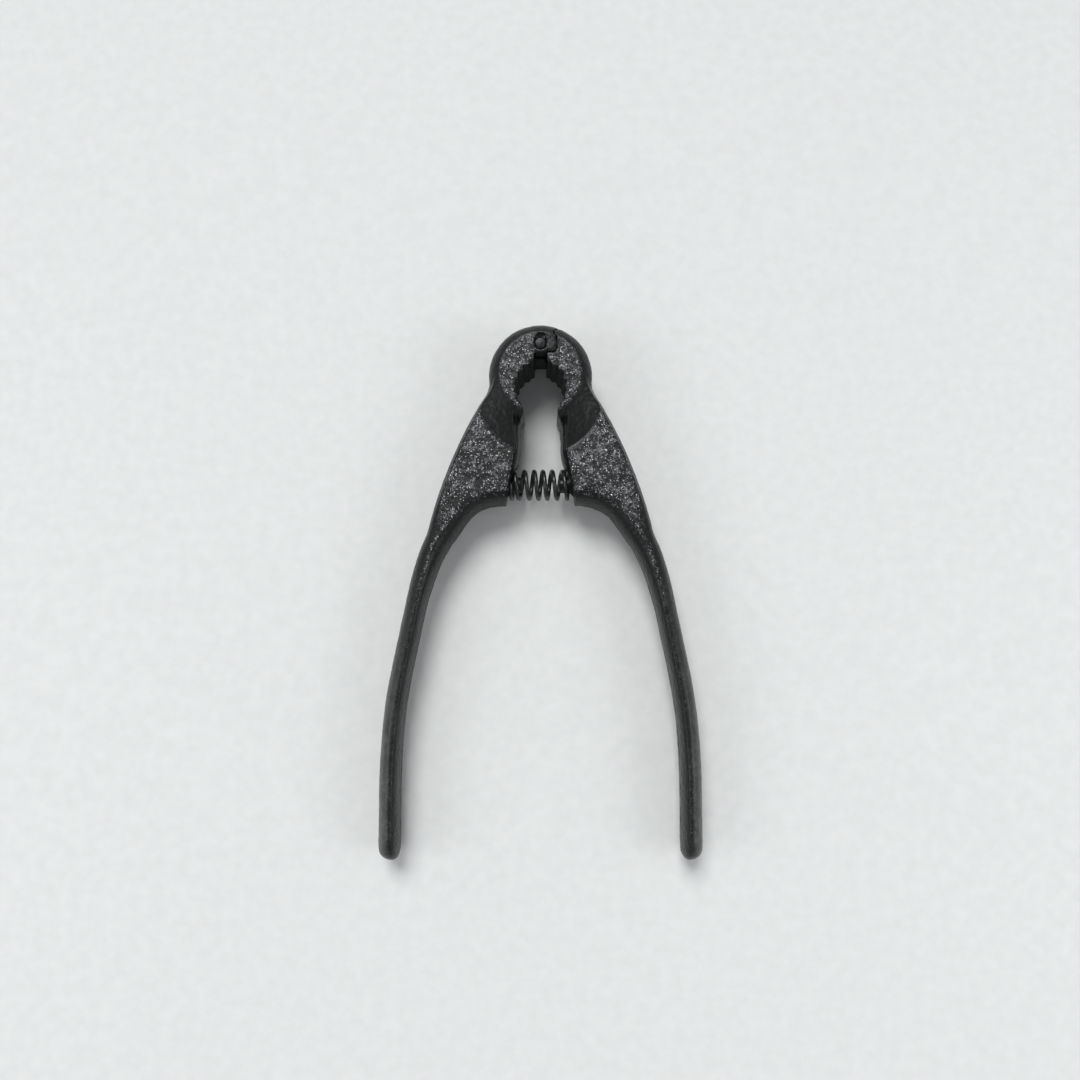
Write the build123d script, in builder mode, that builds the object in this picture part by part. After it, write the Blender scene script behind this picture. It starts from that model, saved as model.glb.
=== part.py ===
from build123d import *
import math
import os

# Hand-held nutcracker: two cast levers with a toothed ring jaw, a hinge pin and a return spring.
#
# Frame: the tool lies flat. +X is to the right, +Y points to the head, +Z is the hinge axis.
# Z = 0 is the lower face of the ring, and the origin is the middle of the tool's outline.
# All lengths are in millimetres. The left half is drawn, and the right lever mirrors it.

os.makedirs("parts", exist_ok=True)

# ---- overall ----
overall_length = 150.0
ring_depth = 19.0
body_depth = 13.5                 # depth of the gussets and the handles
mid_z = ring_depth / 2
half_body = body_depth / 2

# ---- ring and bore ----
ring_radius = 14.75
ring_y = overall_length / 2 - ring_radius
ring_face_radius = 11.7           # the flat face ends here and rolls over to the side
ring_roll = 5.0                   # how far down the side the rolled edge reaches
pivot_y = ring_y + 8.6
bore_y = pivot_y - 12.9
bore_half_width = 6.8
bore_half_height = 7.4
jaw_tip_x = 4.8
jaw_flare = 0.6                   # the jaws run straight from this share of the bore's half height
jaw_tip_drop = 20.0               # below the pin
throat_x = 5.8
throat_top_drop = 22.3
throat_foot_drop = 25.0
notch_width = 3.5                 # slot from the bore up to the hinge knuckles
tooth_groove_radius = 0.85
tooth_groove_inset = 0.3          # the grooves are cut from this far inside the bore's wall
tooth_groove_angles = (110, 129, 148, 167, 186, 205, 224)

# ---- skirt between the ring and the gussets ----
skirt_y = pivot_y - 13.9
skirt_radius = 17.9
skirt_drop = 3.2                  # from the ring's face down to the skirt's foot

# ---- gussets ----
gusset_lower_draft = 8.0
gusset_upper_draft = 23.5
gusset_knee = 4.2                 # height over the middle plane where the draft changes
ring_draft = 12.0

# ---- hinge ----
knuckle_radius = 4.6
outer_knuckle_flat = 2.6          # flat undersides, below the pin
middle_knuckle_flat = 3.5
knuckle_shoulder = 46.0           # degrees each side of straight up
outer_knuckle_depth = 6.2
side_gap = 0.2
shoulder_gap = 1.5                # degrees
knuckle_reach = 12.0
pin_radius = 1.65
pin_running_gap = 0.05
pin_recess = 0.7
pocket_height = 4.8
pocket_depth = 0.9
pocket_rise = 0.35
pin_ease = 0.3

# ---- return spring and its seats ----
spring_y = pivot_y - 39.2
seat_x = 9.3
seat_radius = 5.2
peg_root_radius = 2.7
peg_tip_radius = 2.2
peg_length = 4.0
wire_radius = 0.62
coil_radius = 3.95
spring_turns = 7.0
seat_clearance = 0.1

# ---- handle: bulge each side of the front ridge, and how far back the tip is rounded ----
rib_inner = 4.2
rib_outer = 3.4
rib_end = 0.2                     # shares of the ridge line
grip_start = 0.42
blend_steps = 4
grip_inner = 2.1
grip_outer = 3.8
nose_length = 3.2
nose_depth_length = 6.0
nose_steps = (6.0, 4.6, 3.2, 2.2, 1.4, 0.8, 0.4, 0.15, 0.05)   # distances from the tip


def ring_section():
    """Half section of the ring, flat faces with rolled edges, for a turn about the ring's axis."""
    with BuildSketch(Plane(origin=(0, ring_y, 0), x_dir=(1, 0, 0), z_dir=(0, -1, 0))) as section:
        with BuildLine():
            Line((0, 0), (ring_face_radius, 0))
            TangentArc((ring_radius, ring_roll), (ring_face_radius, 0), tangent=(0, -1))
            Line((ring_radius, ring_roll), (ring_radius, ring_depth - ring_roll))
            TangentArc(
                (ring_radius, ring_depth - ring_roll),
                (ring_face_radius, ring_depth),
                tangent=(0, 1),
            )
            Line((ring_face_radius, ring_depth), (0, ring_depth))
            Line((0, ring_depth), (0, 0))
        make_face()
    return section.sketch


def disc(radius, centre_y, height):
    """Round sketch on the middle line of the tool."""
    with BuildSketch(Plane.XY.offset(height)) as sketch:
        with Locations((0, centre_y)):
            Circle(radius)
    return sketch.sketch


def spring_disc(radius, x):
    """Round sketch across the spring's axis, which runs along X."""
    with BuildSketch(Plane(origin=(x, spring_y, mid_z), x_dir=(0, 1, 0), z_dir=(1, 0, 0))) as sketch:
        Circle(radius)
    return sketch.sketch


def head_outline():
    """Left half of the head at the middle plane: down from the ring to the handle, and back up the neck."""
    ring_side = (-ring_radius, ring_y)
    shoulder = (-17.4, pivot_y - 15.4)
    handle_outside = (-33.2, pivot_y - 56.5)
    handle_inside = (-29.6, pivot_y - 57.5)
    spring_corner = (-8.0, pivot_y - 42.4)
    neck_foot = (-5.7, pivot_y - 30.0)
    neck_top = (-5.8, pivot_y - 22.0)
    with BuildSketch(Plane.XY.offset(mid_z)) as outline:
        with BuildLine():
            TangentArc(ring_side, shoulder, tangent=(0, -1))
            ThreePointArc(shoulder, (-27.0, pivot_y - 35.5), handle_outside)
            Line(handle_outside, handle_inside)
            ThreePointArc(handle_inside, (-21.3, pivot_y - 46.8), spring_corner)
            Polyline(spring_corner, neck_foot, neck_top, (neck_top[0], ring_y), ring_side)
        make_face()
    return outline.sketch


def knuckle_plan(height, underside, grow, angle_grow):
    """Hinge knuckle: a disc round the pin and the cap of the ring above it, with a flat underside."""
    half_angle = math.radians(knuckle_shoulder + angle_grow)
    side = knuckle_reach * math.sin(half_angle)
    top = pivot_y + knuckle_reach * math.cos(half_angle)
    with BuildSketch(Plane.XY.offset(height)) as plan:
        with Locations((0, pivot_y)):
            Circle(knuckle_radius + grow)
        with BuildLine():
            Polyline((0, pivot_y), (side, top), (-side, top), close=True)
        make_face()
        with Locations((0, pivot_y - underside - grow - knuckle_reach / 2)):
            Rectangle(2 * knuckle_reach, knuckle_reach, mode=Mode.SUBTRACT)
    return plan.sketch


def ridge_path():
    """Line of the front ridge, from the spring corner round the underside and down the handle."""
    points = [
        (-9.6, pivot_y - 41.0),
        (-14.3, pivot_y - 41.3),
        (-18.5, pivot_y - 42.7),
        (-22.1, pivot_y - 45.0),
        (-26.0, pivot_y - 50.0),
        (-30.3, pivot_y - 57.0),
        (-33.2, pivot_y - 67.0),
        (-36.4, pivot_y - 83.3),
        (-39.5, pivot_y - 99.7),
        (-40.9, pivot_y - 116.0),
        (-41.1, pivot_y - 130.0),
        (-41.0, -overall_length / 2),
    ]
    with BuildLine() as path:
        Spline(*points)
    return path.edges()[0]


def oval(path, along, inner, outer, half_depth):
    """Section of the handle across the ridge line: one half oval on each side of the ridge."""
    forward = path % along
    place = path @ along + Vector(0, 0, mid_z)
    plane = Plane(origin=place, x_dir=(-forward.Y, forward.X, 0), z_dir=forward)
    with BuildSketch(plane) as section:
        with BuildLine():
            EllipticalCenterArc((0, 0), inner, half_depth, start_angle=-90, arc_size=180)
            EllipticalCenterArc((0, 0), outer, half_depth, start_angle=90, arc_size=180)
        make_face()
    return section.sketch


# ---- scratch solids that the two castings share ----
with BuildPart() as ring_blank:
    revolve(ring_section(), axis=Axis((0, ring_y, 0), (0, 0, 1)))

with BuildPart() as skirt:
    for face_z, foot_z in ((ring_depth, ring_depth - skirt_drop), (0, skirt_drop)):
        loft([disc(skirt_radius, skirt_y, foot_z), disc(ring_face_radius, ring_y, face_z)])
    extrude(disc(skirt_radius, skirt_y, skirt_drop), amount=ring_depth - 2 * skirt_drop)
    extrude(head_outline(), amount=mid_z, both=True, taper=ring_draft, mode=Mode.INTERSECT)

with BuildPart() as gusset:
    extrude(head_outline(), amount=gusset_knee, both=True, taper=gusset_lower_draft)
    for end in (-1, 0):
        flat = gusset.faces().sort_by(Axis.Z)[end]
        extrude(flat, amount=half_body - gusset_knee, taper=gusset_upper_draft)
    for height in (ring_depth - skirt_drop, 0):
        extrude(disc(skirt_radius, skirt_y, height), amount=skirt_drop, mode=Mode.SUBTRACT)

# ---- handle: a thick rib under the gusset that thins into the grip, with a rounded tip ----
ridge = ridge_path()
nose_start = 1 - nose_depth_length / ridge.length

with BuildPart() as rib:
    sweep(oval(ridge, 0, rib_inner, rib_outer, half_body), path=ridge.trim(0, rib_end))

with BuildPart() as rib_to_grip:
    blend_sections = []
    for step in range(blend_steps + 1):
        share = step / blend_steps
        ease = share * share * (3 - 2 * share)
        inner = rib_inner + (grip_inner - rib_inner) * ease
        outer = rib_outer + (grip_outer - rib_outer) * ease
        along = rib_end + (grip_start - rib_end) * share
        blend_sections.append(oval(ridge, along, inner, outer, half_body))
    loft(blend_sections)

with BuildPart() as grip:
    grip_section = oval(ridge, grip_start, grip_inner, grip_outer, half_body)
    sweep(grip_section, path=ridge.trim(grip_start, nose_start))

with BuildPart() as nose:
    nose_sections = []
    for step in nose_steps:
        width = math.sqrt(1 - (max(nose_length - step, 0) / nose_length) ** 2)
        depth = math.sqrt(1 - ((nose_depth_length - step) / nose_depth_length) ** 2)
        along = 1 - step / ridge.length
        nose_sections.append(oval(ridge, along, grip_inner * width, grip_outer * width, half_body * depth))
    loft(nose_sections)

with BuildPart() as half_casting:
    add(ring_blank.part)
    split(bisect_by=Plane.YZ, keep=Keep.BOTTOM)
    for stretch in (skirt, gusset, rib, rib_to_grip, grip, nose):
        add(stretch.part)
    # bore with its teeth, the slot up to the knuckles, and the throat between the jaws
    with BuildSketch():
        with Locations((0, bore_y)):
            Ellipse(bore_half_width, bore_half_height)
        for angle in tooth_groove_angles:
            turn = math.radians(angle)
            groove_x = (bore_half_width - tooth_groove_inset) * math.cos(turn)
            groove_y = bore_y + (bore_half_height - tooth_groove_inset) * math.sin(turn)
            with Locations((groove_x, groove_y)):
                Circle(tooth_groove_radius)
        with Locations((0, (bore_y + pivot_y - outer_knuckle_flat) / 2)):
            Rectangle(notch_width, pivot_y - outer_knuckle_flat - bore_y)
        with BuildLine():
            Polyline(
                (0, bore_y),
                (-jaw_tip_x, bore_y - bore_half_height * jaw_flare),
                (-jaw_tip_x, pivot_y - jaw_tip_drop),
                (-throat_x, pivot_y - throat_top_drop),
                (-throat_x, pivot_y - throat_foot_drop),
                (0, pivot_y - throat_foot_drop),
                close=True,
            )
        make_face()
    extrude(amount=ring_depth, mode=Mode.SUBTRACT)
    # flat seat for the spring, and the peg that it sits on
    extrude(spring_disc(seat_radius, -seat_x), amount=seat_x, mode=Mode.SUBTRACT)
    loft([spring_disc(peg_root_radius, -seat_x), spring_disc(peg_tip_radius, peg_length - seat_x)])

outer_layers = (0, ring_depth - outer_knuckle_depth)
middle_bottom = outer_knuckle_depth + side_gap
middle_depth = ring_depth - 2 * middle_bottom

with BuildPart() as left_knuckles:
    for height in outer_layers:
        extrude(knuckle_plan(height, outer_knuckle_flat, 0, 0), amount=outer_knuckle_depth)
    add(ring_blank.part, mode=Mode.INTERSECT)

with BuildPart() as right_knuckle:
    extrude(knuckle_plan(middle_bottom, middle_knuckle_flat, 0, 0), amount=middle_depth)
    add(ring_blank.part, mode=Mode.INTERSECT)

# ---- left lever: carries the two outer knuckles, which grip the pin ----
with BuildPart() as left_lever:
    add(half_casting.part)
    clearance = knuckle_plan(outer_knuckle_depth, middle_knuckle_flat, side_gap, shoulder_gap)
    extrude(clearance, amount=middle_depth + 2 * side_gap, mode=Mode.SUBTRACT)
    add(left_knuckles.part)
    extrude(disc(pin_radius, pivot_y, 0), amount=ring_depth, mode=Mode.SUBTRACT)
    for height in (0, ring_depth - pocket_depth):
        with BuildSketch(Plane.XY.offset(height)):
            with Locations((0, pivot_y + pocket_rise)):
                SlotOverall(pocket_height, 2 * pin_radius, rotation=90)
        extrude(amount=pocket_depth, mode=Mode.SUBTRACT)
left_lever.part.label = "left_lever"
export_step(left_lever.part, "parts/left_lever.step")

# ---- right lever: the mirrored casting with the middle knuckle, which turns on the pin ----
with BuildPart() as right_lever:
    mirror(half_casting.part, about=Plane.YZ)
    for height in (0, ring_depth - outer_knuckle_depth - side_gap):
        clearance = knuckle_plan(height, outer_knuckle_flat, side_gap, shoulder_gap)
        extrude(clearance, amount=outer_knuckle_depth + side_gap, mode=Mode.SUBTRACT)
    add(right_knuckle.part)
    extrude(disc(pin_radius + pin_running_gap, pivot_y, 0), amount=ring_depth, mode=Mode.SUBTRACT)
right_lever.part.label = "right_lever"
export_step(right_lever.part, "parts/right_lever.step")

# ---- hinge pin: plain steel, ends eased, a little below the faces ----
with BuildPart() as hinge_pin:
    extrude(disc(pin_radius, pivot_y, pin_recess), amount=ring_depth - 2 * pin_recess)
    chamfer(hinge_pin.edges().filter_by(GeomType.CIRCLE), length=pin_ease)
hinge_pin.part.label = "hinge_pin"
export_step(hinge_pin.part, "parts/hinge_pin.step")

# ---- return spring: round wire wound between the two seats ----
with BuildPart() as return_spring:
    wire_start = seat_x - wire_radius - seat_clearance
    with BuildLine():
        coil = Helix(
            pitch=2 * wire_start / spring_turns,
            height=2 * wire_start,
            radius=coil_radius,
            center=(-wire_start, spring_y, mid_z),
            direction=(1, 0, 0),
        )
    with BuildSketch(Plane(origin=coil @ 0, z_dir=coil % 0)):
        Circle(wire_radius)
    sweep()
return_spring.part.label = "return_spring"
export_step(return_spring.part, "parts/return_spring.step")

for piece in (left_lever, right_lever, hinge_pin, return_spring):
    box = piece.part.bounding_box()
    print(piece.part.label, round(piece.part.volume, 1), len(piece.part.solids()), box.min, box.max)
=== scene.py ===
"""Looks of the hand nutcracker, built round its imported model.

Everything is in metres in the part's own frame: the tool lies flat, +Y points to the hinge,
+X to the right lever and +Z up, along the hinge pin.
"""

import math

import bpy
import numpy as np
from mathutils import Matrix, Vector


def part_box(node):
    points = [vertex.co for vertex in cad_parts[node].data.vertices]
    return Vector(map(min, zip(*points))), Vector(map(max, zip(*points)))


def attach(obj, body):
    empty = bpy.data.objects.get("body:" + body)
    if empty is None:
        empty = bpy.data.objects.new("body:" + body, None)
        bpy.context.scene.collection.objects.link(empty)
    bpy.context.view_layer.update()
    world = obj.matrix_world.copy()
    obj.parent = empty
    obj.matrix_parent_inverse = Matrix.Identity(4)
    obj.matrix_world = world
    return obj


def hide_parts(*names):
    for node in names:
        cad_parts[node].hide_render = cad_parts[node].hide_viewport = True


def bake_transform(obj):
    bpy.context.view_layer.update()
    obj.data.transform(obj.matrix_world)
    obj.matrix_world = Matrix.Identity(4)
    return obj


MM = 0.001

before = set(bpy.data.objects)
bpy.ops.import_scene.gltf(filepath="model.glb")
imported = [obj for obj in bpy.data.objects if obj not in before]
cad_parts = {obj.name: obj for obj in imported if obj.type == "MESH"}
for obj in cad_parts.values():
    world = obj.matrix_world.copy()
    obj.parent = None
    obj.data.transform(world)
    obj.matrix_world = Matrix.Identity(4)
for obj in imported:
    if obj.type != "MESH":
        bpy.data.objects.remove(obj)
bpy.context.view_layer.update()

# ---- places that the looks need, read from the frame ----
PIN_LOW, PIN_HIGH = (np.array(corner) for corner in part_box("hinge_pin"))
SPRING_LOW, SPRING_HIGH = (np.array(corner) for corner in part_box("return_spring"))
LEVER_LOW, LEVER_HIGH = (np.array(corner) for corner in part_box("left_lever"))
PIVOT = (PIN_LOW + PIN_HIGH) / 2
MIDDLE_Z = (LEVER_LOW[2] + LEVER_HIGH[2]) / 2
SPRING_MIDDLE = (SPRING_LOW + SPRING_HIGH) / 2
RING_Y = PIVOT[1] - 8.6 * MM
SKIRT_Y = PIVOT[1] - 13.9 * MM
SKIRT_RADIUS = 17.9 * MM
BORE_Y = PIVOT[1] - 12.9 * MM

# The crest of the left lever, from the spring corner round the underside and down the grip,
# in mm from the hinge. The grip's own part starts at the fourth point.
CREST = np.array(
    [
        (-9.6, -41.0),
        (-14.3, -41.3),
        (-18.5, -42.7),
        (-22.1, -45.0),
        (-26.0, -50.0),
        (-30.3, -57.0),
        (-33.2, -67.0),
        (-36.4, -83.3),
        (-39.5, -99.7),
        (-40.9, -116.0),
        (-41.1, -130.0),
        (-41.0, -143.8),
    ]
)
GRIP_START = 3

# ---- the cast surface ----
SKIN_CELL = 0.32 * MM            # size of the skin's quads
PIT_CELL, PIT_SEED = 0.95 * MM, 5
GRAIN_CELL, GRAIN_SEED = 0.55 * MM, 11
WAVE_CELL, WAVE_SEED = 4.0 * MM, 29
CREST_CELL, CREST_SEED = 1.3 * MM, 71          # ragged border of the crest's grains
PARTING_CELL, PARTING_SEED = 2.2 * MM, 83      # breaks in the parting line
RUBBED_CELL, RUBBED_SEED = 0.6 * MM, 91        # worn spots on the edges
OUTER_LIGHT_CELL, OUTER_LIGHT_SEED = 3.0 * MM, 57      # patches in the painted light on the outside of the grips
PARTING_HALF_WIDTH = 0.3 * MM
PARTING_HEIGHT = 0.16            # in mm

# ---- the spring's wire ----
WIRE_RADIUS = 0.62 * MM
SPRING_TURNS = 7.0
CLOSED_TURNS = 0.85              # at each end

# ---- the floor: the handle tips hang this far below the ring's face, over this run ----
TIP_DROP = 2.75 * MM
TIP_RUN = 120.0 * MM
FLOOR_HALF_SIDE = 3.0
FLOOR_GAP = 0.05 * MM

# ---- the camera, from the pin and from the ring's upper face ----
CAMERA_TILT = 5.08               # degrees towards the head
CAMERA_ASIDE = -0.15 * MM
CAMERA_BELOW_PIN = 77.8 * MM
CAMERA_HEIGHT = 247.0 * MM


# ======================================================================
# numpy helpers
# ======================================================================
def smoothstep(low, high, value):
    """0 below low, 1 above high, and a smooth S between them."""
    share = np.clip((value - low) / (high - low), 0.0, 1.0)
    return share * share * (3.0 - 2.0 * share)


def lattice_hash(corner, seed):
    """A repeatable number from 0 to 1 for each whole-number lattice corner."""
    mixed = (
        corner[:, 0] * np.uint64(73856093)
        ^ corner[:, 1] * np.uint64(19349663)
        ^ corner[:, 2] * np.uint64(83492791)
        ^ np.uint64(seed * 2654435761 % 4294967296)
    )
    mixed = (mixed ^ (mixed >> np.uint64(15))) * np.uint64(2246822519) & np.uint64(0xFFFFFFFF)
    mixed = (mixed ^ (mixed >> np.uint64(13))) * np.uint64(3266489917) & np.uint64(0xFFFFFFFF)
    return (mixed ^ (mixed >> np.uint64(16))).astype(float) / 4294967295.0


def value_noise(points, cell, seed):
    """Smooth noise from -1 to 1: random values on a cubic lattice, blended along each axis."""
    scaled = points / cell + 4096.0
    base = np.floor(scaled)
    part = scaled - base
    part = part * part * (3.0 - 2.0 * part)
    base = base.astype(np.uint64)
    total = np.zeros(len(points))
    for dx in (0, 1):
        for dy in (0, 1):
            for dz in (0, 1):
                weight = (
                    (part[:, 0] if dx else 1.0 - part[:, 0])
                    * (part[:, 1] if dy else 1.0 - part[:, 1])
                    * (part[:, 2] if dz else 1.0 - part[:, 2])
                )
                corner = base + np.array([dx, dy, dz], dtype=np.uint64)
                total += weight * lattice_hash(corner, seed)
    return total * 2.0 - 1.0


def read_points(mesh):
    """All vertex places of a mesh as one array."""
    flat = np.empty(len(mesh.vertices) * 3)
    mesh.vertices.foreach_get("co", flat)
    return flat.reshape(-1, 3)


def read_normals(mesh):
    """All vertex normals of a mesh as one array."""
    flat = np.empty(len(mesh.vertices) * 3)
    mesh.vertex_normals.foreach_get("vector", flat)
    return flat.reshape(-1, 3)


def write_points(mesh, points):
    """Puts an array of places back into a mesh."""
    mesh.vertices.foreach_set("co", points.reshape(-1))
    mesh.update()


def add_attribute(mesh, name, values):
    """Stores one number per vertex under a name that a material can read."""
    layer = mesh.attributes.new(name, "FLOAT", "POINT")
    layer.data.foreach_set("value", values.astype(np.float32))


def grid_mesh(name, grid, closed_u, closed_v, caps=False):
    """A mesh from a grid of points [u, v, xyz]: quads between neighbours, wrapped where closed.

    With caps, the first and last rows are closed with a fan to their middle.
    """
    rows, columns = grid.shape[:2]
    index = np.arange(rows * columns).reshape(rows, columns)
    next_row = np.roll(index, -1, axis=0)
    next_column = np.roll(index, -1, axis=1)
    both = np.roll(next_row, -1, axis=1)
    last_row = rows if closed_u else rows - 1
    last_column = columns if closed_v else columns - 1
    quads = np.stack([index, next_row, both, next_column], axis=-1)
    quads = quads[:last_row, :last_column].reshape(-1, 4)
    points = grid.reshape(-1, 3)
    faces = quads.tolist()
    if caps:
        ends = np.array([grid[0].mean(axis=0), grid[-1].mean(axis=0)])
        first_middle = len(points)
        points = np.vstack([points, ends])
        low, high = np.full(columns, first_middle), np.full(columns, first_middle + 1)
        start_fan = np.stack([index[0], next_column[0], low], axis=-1)
        end_fan = np.stack([next_column[-1], index[-1], high], axis=-1)
        faces += start_fan.tolist() + end_fan.tolist()
    mesh = bpy.data.meshes.new(name)
    mesh.from_pydata(points.tolist(), [], faces)
    mesh.update()
    return mesh


def add_piece(name, mesh, material):
    """Puts a finished mesh in the scene with smooth shading and its material."""
    mesh.materials.clear()
    mesh.materials.append(material)
    mesh.polygons.foreach_set("use_smooth", np.ones(len(mesh.polygons), dtype=bool))
    piece = bpy.data.objects.new(name, mesh)
    bpy.context.scene.collection.objects.link(piece)
    return piece


# ======================================================================
# materials
# ======================================================================
class Finish:
    """A small node tree builder for one material."""

    def __init__(self, name):
        self.material = bpy.data.materials.new(name)
        self.material.use_nodes = True
        self.tree = self.material.node_tree
        self.surface = self.tree.nodes["Principled BSDF"]

    def node(self, kind, **settings):
        made = self.tree.nodes.new(kind)
        for key, value in settings.items():
            setattr(made, key, value)
        return made

    def link(self, source, target):
        self.tree.links.new(source, target)

    def set(self, **sockets):
        for key, value in sockets.items():
            self.surface.inputs[key.replace("_", " ")].default_value = value

    def noise(self, scale, detail=2.0, roughness=0.5, place=None):
        made = self.node("ShaderNodeTexNoise")
        made.inputs["Scale"].default_value = scale
        made.inputs["Detail"].default_value = detail
        made.inputs["Roughness"].default_value = roughness
        self.link(place, made.inputs["Vector"])
        return made.outputs["Fac"]

    def ramp(self, value, stops):
        made = self.node("ShaderNodeValToRGB")
        elements = made.color_ramp.elements
        while len(elements) > 1:
            elements.remove(elements[-1])
        elements[0].position, elements[0].color = stops[0][0], colour(stops[0][1])
        for position, shade in stops[1:]:
            elements.new(position).color = colour(shade)
        self.link(value, made.inputs["Fac"])
        return made.outputs["Color"]

    def maths(self, operation, first, second):
        made = self.node("ShaderNodeMath", operation=operation)
        for socket, value in zip(made.inputs, (first, second)):
            if isinstance(value, (int, float)):
                socket.default_value = value
            else:
                self.link(value, socket)
        return made.outputs[0]

    def mix(self, share, first, second):
        made = self.node("ShaderNodeMix", data_type="RGBA")
        for key, value in (("Factor", share), ("A", first), ("B", second)):
            sockets = [s for s in made.inputs if s.name == key and s.enabled]
            socket = sockets[0]
            if isinstance(value, (int, float)):
                socket.default_value = value
            elif isinstance(value, tuple):
                socket.default_value = colour(value)
            else:
                self.link(value, socket)
        return [s for s in made.outputs if s.enabled][0]

    def bump(self, height, strength, distance, after=None):
        made = self.node("ShaderNodeBump")
        made.inputs["Strength"].default_value = strength
        made.inputs["Distance"].default_value = distance
        self.link(height, made.inputs["Height"])
        if after is not None:
            self.link(after, made.inputs["Normal"])
        return made.outputs["Normal"]


def colour(value):
    """Grey number or triple to four channels."""
    if isinstance(value, (int, float)):
        return (value, value, value, 1.0)
    return (*value, 1.0)


def hammered_black():
    """Black hammered paint on a rough casting.

    Where the attribute 'flake' is high, silver grains lie in the black, each turned its own way so
    that only some of them glint, with grey wisps between dark cells. Where it is low the paint is
    smooth and nearly black. 'worn_edge' brightens rubbed edges. The outside of the grips is painted
    a lighter grey: painted light, standing in for the light that falls on that side.
    """
    finish = Finish("hammered_black_paint")
    place = finish.node("ShaderNodeTexCoord").outputs["Object"]
    flake = finish.node("ShaderNodeAttribute", attribute_name="flake").outputs["Fac"]
    edge = finish.node("ShaderNodeAttribute", attribute_name="worn_edge").outputs["Fac"]
    # painted light: this attribute marks the grips' outer sides, painted lighter grey where the
    # light falls
    painted_outer_light = finish.node("ShaderNodeAttribute", attribute_name="painted_outer_light").outputs["Fac"]

    # painted light: the lighter grey of the grips' lit outer sides
    painted_light_grey = (0.1, 0.104, 0.103)
    wisp_grey = (0.13, 0.137, 0.147)
    grain_silver = (0.5, 0.51, 0.53)
    per_metre = {
        "fine": 2600.0,
        "patches": 520.0,
        "cloud": 90.0,
        "cells": 1000.0,
        "grains": 2500.0,
        "dimples": 800.0,
    }
    bump_depth = 0.4 * MM

    fine = finish.noise(per_metre["fine"], 3.0, 0.65, place)
    patches = finish.noise(per_metre["patches"], 2.0, 0.55, place)
    cloud = finish.noise(per_metre["cloud"], 2.0, 0.5, place)
    cells = finish.node("ShaderNodeTexVoronoi", feature="DISTANCE_TO_EDGE")
    cells.inputs["Scale"].default_value = per_metre["cells"]
    finish.link(place, cells.inputs["Vector"])
    border = finish.ramp(cells.outputs["Distance"], [(0.04, 1.0), (0.26, 0.0)])
    broken = finish.ramp(finish.maths("MULTIPLY", patches, fine), [(0.24, 0.0), (0.36, 1.0)])
    wisps = finish.maths("MULTIPLY", finish.maths("MULTIPLY", border, broken), flake)

    grains = finish.node("ShaderNodeTexVoronoi", feature="F1")
    grains.inputs["Scale"].default_value = per_metre["grains"]
    finish.link(place, grains.inputs["Vector"])
    ragged = finish.maths("ADD", grains.outputs["Distance"], finish.maths("MULTIPLY", fine, 1.1))
    blob = finish.ramp(finish.maths("MULTIPLY", ragged, 0.7), [(0.52, 1.0), (0.66, 0.0)])
    crowding = finish.maths("MULTIPLY", patches, 0.9)
    clustered = finish.maths("ADD", grains.outputs["Color"], crowding)
    rare = finish.ramp(finish.maths("MULTIPLY", clustered, 0.6), [(0.58, 0.0), (0.68, 1.0)])
    specks = finish.maths("MULTIPLY", finish.maths("MULTIPLY", blob, rare), flake)
    rubbed = finish.maths("MULTIPLY", edge, finish.ramp(fine, [(0.5, 0.0), (0.62, 1.0)]))
    bright = finish.maths("MAXIMUM", specks, rubbed)

    dark = finish.ramp(cloud, [(0.3, (0.003, 0.004, 0.004)), (0.7, (0.008, 0.009, 0.009))])
    # painted light: the grips' outer sides are mixed towards the lighter grey, in patches
    mottled = finish.maths("MULTIPLY", painted_outer_light, finish.ramp(patches, [(0.35, 0.6), (0.65, 1.0)]))
    side = finish.mix(mottled, dark, painted_light_grey)
    wispy = finish.mix(wisps, side, wisp_grey)
    final = finish.mix(bright, wispy, grain_silver)
    finish.link(final, finish.surface.inputs["Base Color"])

    finish.link(finish.maths("MULTIPLY", bright, 0.95), finish.surface.inputs["Metallic"])
    finish.link(finish.ramp(fine, [(0.35, 0.3), (0.65, 0.46)]), finish.surface.inputs["Roughness"])

    middle = finish.node("ShaderNodeVectorMath", operation="SUBTRACT")
    finish.link(grains.outputs["Color"], middle.inputs[0])
    middle.inputs[1].default_value = (0.5, 0.5, 0.5)
    lean = finish.node("ShaderNodeVectorMath", operation="SCALE")
    finish.link(middle.outputs["Vector"], lean.inputs[0])
    finish.link(finish.maths("MULTIPLY", bright, 1.1), lean.inputs["Scale"])
    leaning = finish.node("ShaderNodeVectorMath", operation="ADD")
    finish.link(finish.node("ShaderNodeNewGeometry").outputs["Normal"], leaning.inputs[0])
    finish.link(lean.outputs["Vector"], leaning.inputs[1])
    turned = finish.node("ShaderNodeVectorMath", operation="NORMALIZE")
    finish.link(leaning.outputs["Vector"], turned.inputs[0])
    fine_half = finish.maths("MULTIPLY", fine, 0.5)
    height = finish.maths("ADD", fine_half, finish.maths("MULTIPLY", patches, 0.5))
    where = finish.maths("ADD", finish.maths("MULTIPLY", flake, 0.85), 0.15)
    crinkle = finish.maths("MULTIPLY", height, where)
    dimples = finish.node("ShaderNodeTexVoronoi", feature="SMOOTH_F1")
    dimples.inputs["Scale"].default_value = per_metre["dimples"]
    finish.link(place, dimples.inputs["Vector"])
    leant = turned.outputs["Vector"]
    hammered = finish.bump(dimples.outputs["Distance"], 0.35, bump_depth, leant)
    finish.link(finish.bump(crinkle, 0.7, bump_depth, hammered), finish.surface.inputs["Normal"])
    finish.set(Coat_Weight=0.08, Coat_Roughness=0.22, Specular_IOR_Level=0.25)
    return finish.material


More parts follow.
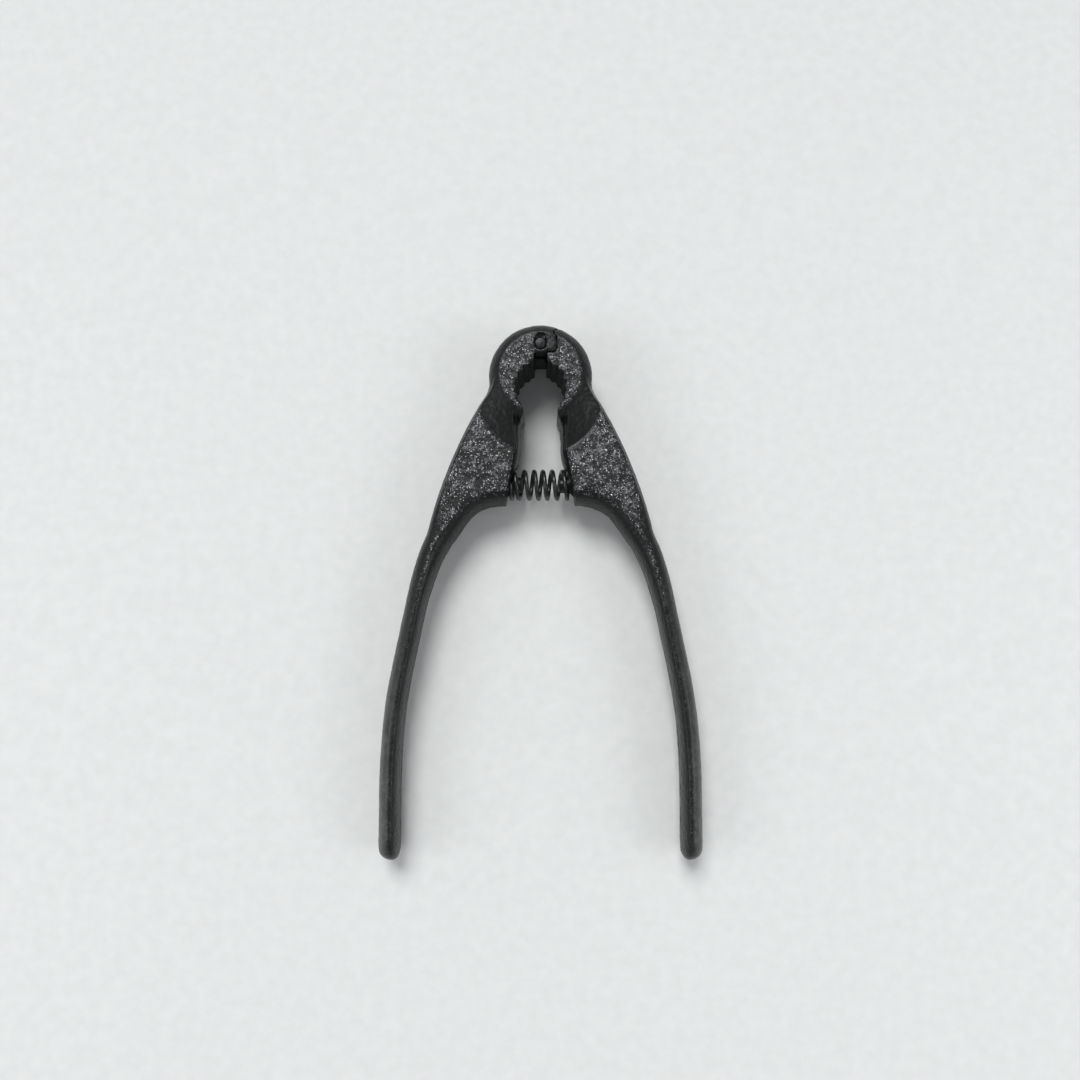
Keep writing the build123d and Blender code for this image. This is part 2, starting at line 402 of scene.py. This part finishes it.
def turned_steel():
    """Plain turned steel with fine rings about the pin's own axis and a little tarnish."""
    finish = Finish("turned_pin_steel")
    place = finish.node("ShaderNodeTexCoord").outputs["Object"]
    shift = finish.node("ShaderNodeMapping")
    shift.inputs["Location"].default_value = (-PIVOT[0], -PIVOT[1], 0.0)
    finish.link(place, shift.inputs["Vector"])
    rings = finish.node("ShaderNodeTexWave", wave_type="RINGS", rings_direction="Z")
    rings.inputs["Scale"].default_value = 900.0
    rings.inputs["Distortion"].default_value = 1.5
    finish.link(shift.outputs["Vector"], rings.inputs["Vector"])
    tarnish = finish.noise(900.0, 3.0, 0.6, place)
    finish.link(
        finish.ramp(tarnish, [(0.35, (0.02, 0.02, 0.022)), (0.7, (0.07, 0.07, 0.073))]),
        finish.surface.inputs["Base Color"],
    )
    finish.link(finish.ramp(tarnish, [(0.3, 0.32), (0.7, 0.5)]), finish.surface.inputs["Roughness"])
    finish.link(finish.bump(rings.outputs["Fac"], 0.25, 0.00004), finish.surface.inputs["Normal"])
    finish.set(Metallic=1.0)
    return finish.material


def blackened_wire():
    """Oiled black spring wire with faint drawing lines along the wire, from its own UV map."""
    finish = Finish("blackened_spring_wire")
    uv = finish.node("ShaderNodeUVMap", uv_map="wire").outputs["UV"]
    place = finish.node("ShaderNodeTexCoord").outputs["Object"]
    stretch = finish.node("ShaderNodeMapping")
    stretch.inputs["Scale"].default_value = (2.0, 24.0, 1.0)
    finish.link(uv, stretch.inputs["Vector"])
    lines = finish.noise(3.0, 2.0, 0.5, stretch.outputs["Vector"])
    spots = finish.noise(1400.0, 2.0, 0.5, place)
    finish.link(
        finish.ramp(spots, [(0.35, (0.012, 0.012, 0.013)), (0.75, (0.06, 0.06, 0.062))]),
        finish.surface.inputs["Base Color"],
    )
    finish.link(finish.ramp(lines, [(0.3, 0.22), (0.7, 0.42)]), finish.surface.inputs["Roughness"])
    finish.link(finish.bump(lines, 0.15, 0.00005), finish.surface.inputs["Normal"])
    finish.set(Metallic=0.65, Coat_Weight=0.3, Coat_Roughness=0.15)
    return finish.material


def pale_card():
    """Matt pale floor with a very faint grain."""
    finish = Finish("pale_floor")
    place = finish.node("ShaderNodeTexCoord").outputs["Object"]
    grain = finish.noise(300.0, 3.0, 0.5, place)
    finish.link(
        finish.ramp(grain, [(0.3, (0.66, 0.67, 0.665)), (0.7, (0.70, 0.71, 0.705))]),
        finish.surface.inputs["Base Color"],
    )
    finish.set(Roughness=0.7)
    return finish.material


# ======================================================================
# the two castings
# ======================================================================
def cast_copy(node, name):
    """A merged copy of a lever's mesh, remade as an even skin of small quads."""
    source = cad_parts[node]
    mesh = source.data.copy()
    mesh.name = name
    piece = bpy.data.objects.new(name, mesh)
    bpy.context.scene.collection.objects.link(piece)
    weld = piece.modifiers.new("weld", "WELD")
    weld.merge_threshold = 0.002 * MM
    remesh = piece.modifiers.new("skin", "REMESH")
    remesh.mode = "VOXEL"
    remesh.voxel_size = SKIN_CELL
    remesh.adaptivity = 0.0
    graph = bpy.context.evaluated_depsgraph_get()
    skinned = bpy.data.meshes.new_from_object(piece.evaluated_get(graph))
    skinned.name = name
    bpy.data.objects.remove(piece)
    bpy.data.meshes.remove(mesh)
    return skinned


def smooth_skin(mesh, rounds, weight):
    """Moves each point part of the way to the mean of its neighbours, several times over."""
    points = read_points(mesh)
    edges = np.empty(len(mesh.edges) * 2, dtype=np.int64)
    mesh.edges.foreach_get("vertices", edges)
    first, second = edges.reshape(-1, 2).T
    count = np.bincount(first, minlength=len(points)) + np.bincount(second, minlength=len(points))
    for _ in range(rounds):
        total = np.zeros_like(points)
        for axis in range(3):
            total[:, axis] = np.bincount(first, points[second, axis], len(points))
            total[:, axis] += np.bincount(second, points[first, axis], len(points))
        mean = total / count[:, None]
        points = points + (mean - points) * weight[:, None]
    write_points(mesh, points)


def distance_to_line(points, line):
    """Shortest distance in plan from each point to a line of straight runs.

    Also gives the share of the line at which the nearest place lies.
    """
    best = np.full(len(points), np.inf)
    share = np.zeros(len(points))
    runs = len(line) - 1
    for step in range(runs):
        start, run = line[step], line[step + 1] - line[step]
        along = np.clip(((points[:, :2] - start) @ run) / (run @ run), 0.0, 1.0)
        gap = np.linalg.norm(points[:, :2] - start - along[:, None] * run, axis=1)
        nearer = gap < best
        best = np.where(nearer, gap, best)
        share = np.where(nearer, (step + along) / runs, share)
    return best, share


def bump_between(value, start, full, still_full, end):
    """0 outside start and end, 1 between full and still_full, with smooth flanks."""
    return smoothstep(start, full, value) * (1.0 - smoothstep(still_full, end, value))


def height_of(points):
    """Distance of each point above or below the middle plane of the casting."""
    return np.abs(points[:, 2] - MIDDLE_Z)


def cell_noise(points, cell, seed):
    """Distance to the nearest of one random point per lattice cell, as a share of the cell.

    It makes round pits with ridges between.
    """
    scaled = points / cell + 4096.0
    base = np.floor(scaled)
    nearest = np.full(len(points), 9.0)
    for dx in (-1, 0, 1):
        for dy in (-1, 0, 1):
            for dz in (-1, 0, 1):
                corner = base + np.array([dx, dy, dz])
                whole = corner.astype(np.uint64)
                jitter = [lattice_hash(whole, seed + turn) for turn in (0, 101, 202)]
                jitter = np.stack(jitter, axis=1)
                gap = np.linalg.norm(corner + jitter - scaled, axis=1)
                nearest = np.minimum(nearest, gap)
    return nearest


def freedom(points):
    """Each point's distance from the pin, and how far it may leave the CAD shape.

    The second is 1 on free surfaces, and less round the hinge and at the spring's seat, where
    parts fit.
    """
    from_pin = np.hypot(points[:, 0], points[:, 1] - PIVOT[1])
    height = height_of(points)
    spring_gap = np.hypot(points[:, 1] - SPRING_MIDDLE[1], points[:, 2] - SPRING_MIDDLE[2])
    at_seat = (spring_gap < 5.5 * MM) & (np.abs(points[:, 0]) < 9.9 * MM)
    near_pin = 1.0 - smoothstep(4.9 * MM, 6.2 * MM, from_pin)
    fitted = near_pin * np.where(height > 9.3 * MM, 0.4, 1.0)
    return from_pin, (1.0 - fitted) * np.where(at_seat, 0.15, 1.0)


def ease_fillets(mesh, side):
    """Rounds the shoulder under the ring, and the outer side where the gusset meets the grip."""
    points = read_points(mesh)
    x = points[:, 0] * side
    below_pin = PIVOT[1] - points[:, 1]
    at_shoulder = bump_between(below_pin, 9.0 * MM, 13.0 * MM, 17.0 * MM, 21.0 * MM)
    low_down = 1.0 - smoothstep(5.5 * MM, 7.0 * MM, height_of(points))
    at_shoulder *= smoothstep(11.5 * MM, 13.5 * MM, x) * low_down
    at_handle = bump_between(below_pin, 44.0 * MM, 52.0 * MM, 60.0 * MM, 68.0 * MM)
    grip = CREST[GRIP_START:]
    crest_x = np.interp(below_pin / MM, -grip[:, 1], -grip[:, 0]) * MM
    at_handle *= smoothstep(-0.6 * MM, 0.6 * MM, x - crest_x)
    smooth_skin(mesh, 40, 0.5 * at_shoulder)
    smooth_skin(mesh, 90, 0.5 * at_handle)


def lever(node, name, side, material):
    """One casting: an even skin, edges eased as from a sand mould, then a rough-cast surface.

    The roughness is round pits and two sizes of smooth noise, added together and pushed along the
    normals. It is strong on the faces that look up or down, and weak on the sides and near the
    hinge, where parts fit.
    """
    mesh = cast_copy(node, name)
    from_pin, free = freedom(read_points(mesh))
    smooth_skin(mesh, 4, 0.5 * (0.15 + 0.85 * free))
    ease_fillets(mesh, side)

    points = read_points(mesh)
    normals = read_normals(mesh)
    facing = np.abs(normals[:, 2])
    height = height_of(points)
    x = points[:, 0] * side
    from_ring = np.hypot(x, points[:, 1] - RING_Y)
    from_skirt = np.hypot(x, points[:, 1] - SKIRT_Y)
    from_bore = np.hypot(x, points[:, 1] - BORE_Y)
    crest = CREST * MM + np.array([0.0, PIVOT[1]])
    gap, share = distance_to_line(np.stack([x * -1.0, points[:, 1]], axis=1), crest)
    ragged = value_noise(points, CREST_CELL, CREST_SEED)

    # silver grains: the ring's face, the gusset's face and a thin band along the crest
    ring_face = smoothstep(0.9, 0.98, facing)
    ring_face = ring_face * (1.0 - smoothstep(10.9 * MM, 12.1 * MM, from_ring))
    ring_face *= height > 9.0 * MM
    gusset_face = smoothstep(0.93, 0.985, facing) * (height > 6.0 * MM) * (height < 7.4 * MM)
    gusset_face *= smoothstep(-0.35 * MM, 0.15 * MM, from_skirt - SKIRT_RADIUS)
    gusset_face *= 1.0 - smoothstep(0.30, 0.42, share)
    crest_band = 1.0 - smoothstep(0.25 * MM, 0.75 * MM, gap + ragged * 0.2 * MM)
    crest_band = crest_band * (height > 5.9 * MM)
    crest_band *= 1.0 - 0.85 * smoothstep(0.45, 0.62, share)
    flake = np.maximum(ring_face, np.maximum(gusset_face, crest_band))
    front_knuckle = (from_pin < 4.7 * MM) & (points[:, 0] > 1.9 * MM) & (height > 9.0 * MM)
    flake = np.where(front_knuckle, 0.05, flake)

    # the rough-cast surface and the mould's parting line
    pits = cell_noise(points, PIT_CELL, PIT_SEED) - 0.55
    grain = value_noise(points, GRAIN_CELL, GRAIN_SEED)
    wave = value_noise(points, WAVE_CELL, WAVE_SEED)
    rough = pits * (0.075 + 0.075 * flake) + grain * (0.02 + 0.025 * flake) + wave * 0.05
    outer_wall = (1.0 - smoothstep(0.3, 0.5, facing)) * (x > 5.0 * MM) * (from_bore > 9.5 * MM)
    parting = np.exp(-(((points[:, 2] - MIDDLE_Z) / PARTING_HALF_WIDTH) ** 2)) * outer_wall
    parting *= smoothstep(-0.5, 0.4, value_noise(points, PARTING_CELL, PARTING_SEED))
    lift = (rough + PARTING_HEIGHT * parting) * MM * free
    write_points(mesh, points + normals * lift[:, None])

    # rubbed edges, and painted light: the outside of the grip painted a lighter grey, as the side
    # the light falls on
    rim = smoothstep(0.5, 0.7, facing) * (1.0 - smoothstep(0.86, 0.95, facing))
    on_edge = (height > 8.3 * MM) & (from_ring < 11.9 * MM)
    on_gusset = (height > 6.0 * MM) & (height < 7.6 * MM) & (share < 0.3)
    on_edge |= on_gusset & (from_skirt > SKIRT_RADIUS - 0.6 * MM)
    rubbed = smoothstep(-0.2, 0.5, value_noise(points, RUBBED_CELL, RUBBED_SEED))
    worn = rubbed * np.maximum(0.7 * rim * on_edge, 0.6 * parting)
    # painted light: the grip's outer side, which the light falls on, is marked for a lighter grey
    outside = smoothstep(-0.2, 0.9, normals[:, 0] * side) * smoothstep(0.45, 0.95, share)
    outside *= 0.75 + 0.25 * value_noise(points, OUTER_LIGHT_CELL, OUTER_LIGHT_SEED)
    add_attribute(mesh, "flake", flake)
    add_attribute(mesh, "worn_edge", worn)
    add_attribute(mesh, "painted_outer_light", outside)
    piece = add_piece(name, mesh, material)
    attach(piece, node)
    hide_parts(node)
    return piece


# ======================================================================
# pin and spring
# ======================================================================
def turned_pin(material):
    """The hinge pin: a profile of radius against height, turned about the pin's axis.

    Each end is a parabolic dome, then a quarter circle that eases the edge.
    """
    radius = (PIN_HIGH[0] - PIN_LOW[0]) / 2
    ease = 0.3 * MM
    dome_height = 0.12 * MM
    turn = np.linspace(0, math.pi / 2, 6)
    dome = np.linspace(0.02, 0.9, 8) * (radius - ease)
    low_dome = np.stack([dome, PIN_LOW[2] + dome_height * (dome / radius) ** 2], axis=1)
    edge_height = PIN_LOW[2] + dome_height + ease * (1 - np.cos(turn))
    low_edge = np.stack([radius - ease + ease * np.sin(turn), edge_height], axis=1)
    low_half = np.vstack([low_dome, low_edge])
    high_half = low_half[::-1].copy()
    high_half[:, 1] = PIN_LOW[2] + PIN_HIGH[2] - high_half[:, 1]
    profile = np.vstack([low_half, high_half])
    around = np.linspace(0, 2 * math.pi, 64, endpoint=False)
    grid = np.empty((len(profile), len(around), 3))
    grid[..., 0] = PIVOT[0] + profile[:, :1] * np.cos(around)
    grid[..., 1] = PIVOT[1] - profile[:, :1] * np.sin(around)
    grid[..., 2] = profile[:, 1:]
    mesh = grid_mesh("pin_turned", grid, False, True, caps=True)
    piece = add_piece("pin_turned", mesh, material)
    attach(piece, "left_lever")
    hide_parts("hinge_pin")
    return piece


def coil_spring(material):
    """The return spring: a round wire carried along a helix about the X axis.

    The share of the length is an eased function of the turn, so the first and last turns lie
    close together, as closed ends do.
    """
    wire = WIRE_RADIUS
    coil = (SPRING_HIGH[1] - SPRING_LOW[1]) / 2 - wire
    turns = SPRING_TURNS
    steps_per_turn = 40
    along = np.linspace(0.0, 1.0, int(turns * steps_per_turn) + 1)
    left, right = SPRING_LOW[0] + wire, SPRING_HIGH[0] - wire
    closed = CLOSED_TURNS / turns
    body = np.clip((along - closed) / (1 - 2 * closed), 0.0, 1.0)
    ease = body + 0.02 * np.sin(2 * math.pi * body)
    end_rise = 0.95 * wire / (right - left)
    share = np.minimum(along / closed, 1.0) * end_rise * 1.9
    share += np.clip((along - 1 + closed) / closed, 0.0, 1.0) * end_rise * 1.9
    share += ease * (1 - 2 * 1.9 * end_rise)
    angle = 2 * math.pi * turns * along + math.pi * 0.5
    centre = np.stack(
        [
            left + (right - left) * share,
            SPRING_MIDDLE[1] + coil * np.cos(angle),
            SPRING_MIDDLE[2] + coil * np.sin(angle),
        ],
        axis=1,
    )
    forward = np.gradient(centre, axis=0)
    forward /= np.linalg.norm(forward, axis=1, keepdims=True)
    outward = centre - np.array([0.0, SPRING_MIDDLE[1], SPRING_MIDDLE[2]])
    outward[:, 0] = 0.0
    outward -= forward * np.sum(outward * forward, axis=1, keepdims=True)
    outward /= np.linalg.norm(outward, axis=1, keepdims=True)
    side = np.cross(forward, outward)
    around = np.linspace(0, 2 * math.pi, 16, endpoint=False)
    across = np.cos(around)[None, :, None] * outward[:, None, :]
    upward = np.sin(around)[None, :, None] * side[:, None, :]
    grid = centre[:, None, :] + wire * (across + upward)
    grid = grid[:, ::-1]
    mesh = grid_mesh("spring_coil", grid, False, True, caps=True)
    layer = mesh.uv_layers.new(name="wire")
    corner = np.empty(len(mesh.loops), dtype=np.int64)
    mesh.loops.foreach_get("vertex_index", corner)
    row, column = np.divmod(np.minimum(corner, grid.shape[0] * grid.shape[1] - 1), grid.shape[1])
    uv = np.stack([row / steps_per_turn * 4.0, column / grid.shape[1]], axis=1)
    layer.data.foreach_set("uv", uv.reshape(-1))
    piece = add_piece("spring_coil", mesh, material)
    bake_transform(piece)
    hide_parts("return_spring")
    return piece


# ======================================================================
# stage: floor, light and camera
# ======================================================================
def floor(material):
    """A wide pale sheet, tipped a little so that the ring and the two handle tips rest on it."""
    slope = TIP_DROP / TIP_RUN
    rest_y = PIVOT[1] - 21.0 * MM
    side = FLOOR_HALF_SIDE
    corners = [(-side, -side), (side, -side), (side, side), (-side, side)]
    points = [(x, y, (rest_y - y) * slope - FLOOR_GAP) for x, y in corners]
    mesh = bpy.data.meshes.new("floor")
    mesh.from_pydata(points, [], [(0, 1, 2, 3)])
    mesh.materials.append(material)
    sheet = bpy.data.objects.new("floor", mesh)
    bpy.context.scene.collection.objects.link(sheet)


def area_light(name, place, aim, size, power):
    """A soft square lamp at a place, pointed at another."""
    lamp = bpy.data.lights.new(name, "AREA")
    lamp.size = size
    lamp.energy = power
    holder = bpy.data.objects.new(name, lamp)
    holder.location = place
    way = np.array(aim) - np.array(place)
    tip = math.acos(-way[2] / np.linalg.norm(way))
    holder.rotation_euler = (tip, 0.0, math.atan2(-way[0], way[1]))
    bpy.context.scene.collection.objects.link(holder)


def lights():
    """Soft studio light: a broad lamp high up, a weak one at each side, and a pale surround."""
    sky = bpy.data.lights.new("broad_lamp", "SUN")
    sky.energy = 2.3
    sky.angle = math.radians(28.0)
    holder = bpy.data.objects.new("broad_lamp", sky)
    holder.rotation_euler = (math.radians(-36.0), math.radians(-12.0), 0.0)
    bpy.context.scene.collection.objects.link(holder)
    area_light("left_lamp", (-0.6, -0.1, 0.45), (0, 0, 0), 0.3, 1.0)
    area_light("right_lamp", (0.6, -0.1, 0.45), (0, 0, 0), 0.3, 1.0)
    world = bpy.data.worlds.new("surround")
    world.use_nodes = True
    tree = world.node_tree
    way = tree.nodes.new("ShaderNodeSeparateXYZ")
    tree.links.new(tree.nodes.new("ShaderNodeTexCoord").outputs["Generated"], way.inputs[0])
    fade = tree.nodes.new("ShaderNodeValToRGB")
    shades = ((0.0, (0.66, 0.67, 0.68)), (0.45, (0.33, 0.34, 0.35)))
    for stop, (position, shade) in zip(fade.color_ramp.elements, shades):
        stop.position, stop.color = position, colour(shade)
    tree.links.new(way.outputs["Z"], fade.inputs["Fac"])
    tree.links.new(fade.outputs["Color"], tree.nodes["Background"].inputs["Color"])
    bpy.context.scene.world = world
    bpy.context.scene.view_settings.view_transform = "Standard"


def camera():
    """The view from above the grips, tipped a little towards the head."""
    tilt = math.radians(CAMERA_TILT)
    lens = bpy.data.cameras.new("camera")
    lens.sensor_width = 36.0
    lens.lens = 30.0
    holder = bpy.data.objects.new("camera", lens)
    holder.location = (CAMERA_ASIDE, PIVOT[1] - CAMERA_BELOW_PIN, LEVER_HIGH[2] + CAMERA_HEIGHT)
    holder.rotation_euler = (tilt, 0.0, 0.0)
    bpy.context.scene.collection.objects.link(holder)
    bpy.context.scene.camera = holder


camera()
lights()
floor(pale_card())
black_paint = hammered_black()
lever("left_lever", "left_casting", -1.0, black_paint)
lever("right_lever", "right_casting", 1.0, black_paint)
turned_pin(turned_steel())
coil_spring(blackened_wire())
